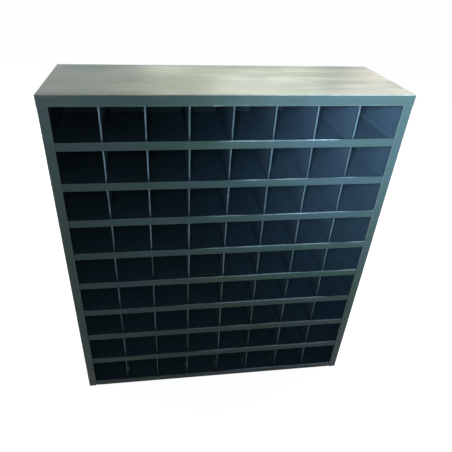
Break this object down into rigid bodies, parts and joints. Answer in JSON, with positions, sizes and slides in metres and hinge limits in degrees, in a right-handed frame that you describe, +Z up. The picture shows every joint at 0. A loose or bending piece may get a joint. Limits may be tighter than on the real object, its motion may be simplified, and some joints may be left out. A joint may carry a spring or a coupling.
{
  "type": "pigeonhole mail sorter",
  "caption": "Open-fronted sheet-steel sorter with a grid of pigeonholes: lipped full-width shelves, upright dividers, a folded case and a closed back.",
  "frame": {"origin": "middle of the footprint, on the surface that the unit stands on", "axes": "+Z up, +X to the right of a person facing the open front, +Y from the open front towards the back"},
  "size_m": [0.916, 0.305, 1.0276],
  "materials": {
    "casing_enamel": "semi-gloss slate-green enamel",
    "shelf_enamel": "semi-gloss slate-green enamel",
    "divider_enamel": "semi-gloss slate-green enamel",
    "rivet_enamel": "semi-gloss slate-green enamel over steel"
  },
  "bodies": {
    "root": {"top_panel": "casing_enamel", "base_panel": "casing_enamel", "left_side_panel": "casing_enamel", "right_side_panel": "casing_enamel", "back_panel": "casing_enamel", "shelf_1": "shelf_enamel", "shelf_2": "shelf_enamel", "shelf_3": "shelf_enamel", "shelf_4": "shelf_enamel", "shelf_5": "shelf_enamel", "shelf_6": "shelf_enamel", "shelf_7": "shelf_enamel", "shelf_8": "shelf_enamel", "dividers_row_1": "divider_enamel", "dividers_row_2": "divider_enamel", "dividers_row_3": "divider_enamel", "dividers_row_4": "divider_enamel", "dividers_row_5": "divider_enamel", "dividers_row_6": "divider_enamel", "dividers_row_7": "divider_enamel", "dividers_row_8": "divider_enamel", "dividers_row_9": "divider_enamel", "left_side_rivets": "rivet_enamel", "right_side_rivets": "rivet_enamel", "back_panel_rivets": "rivet_enamel"}
  },
  "joints": []
}
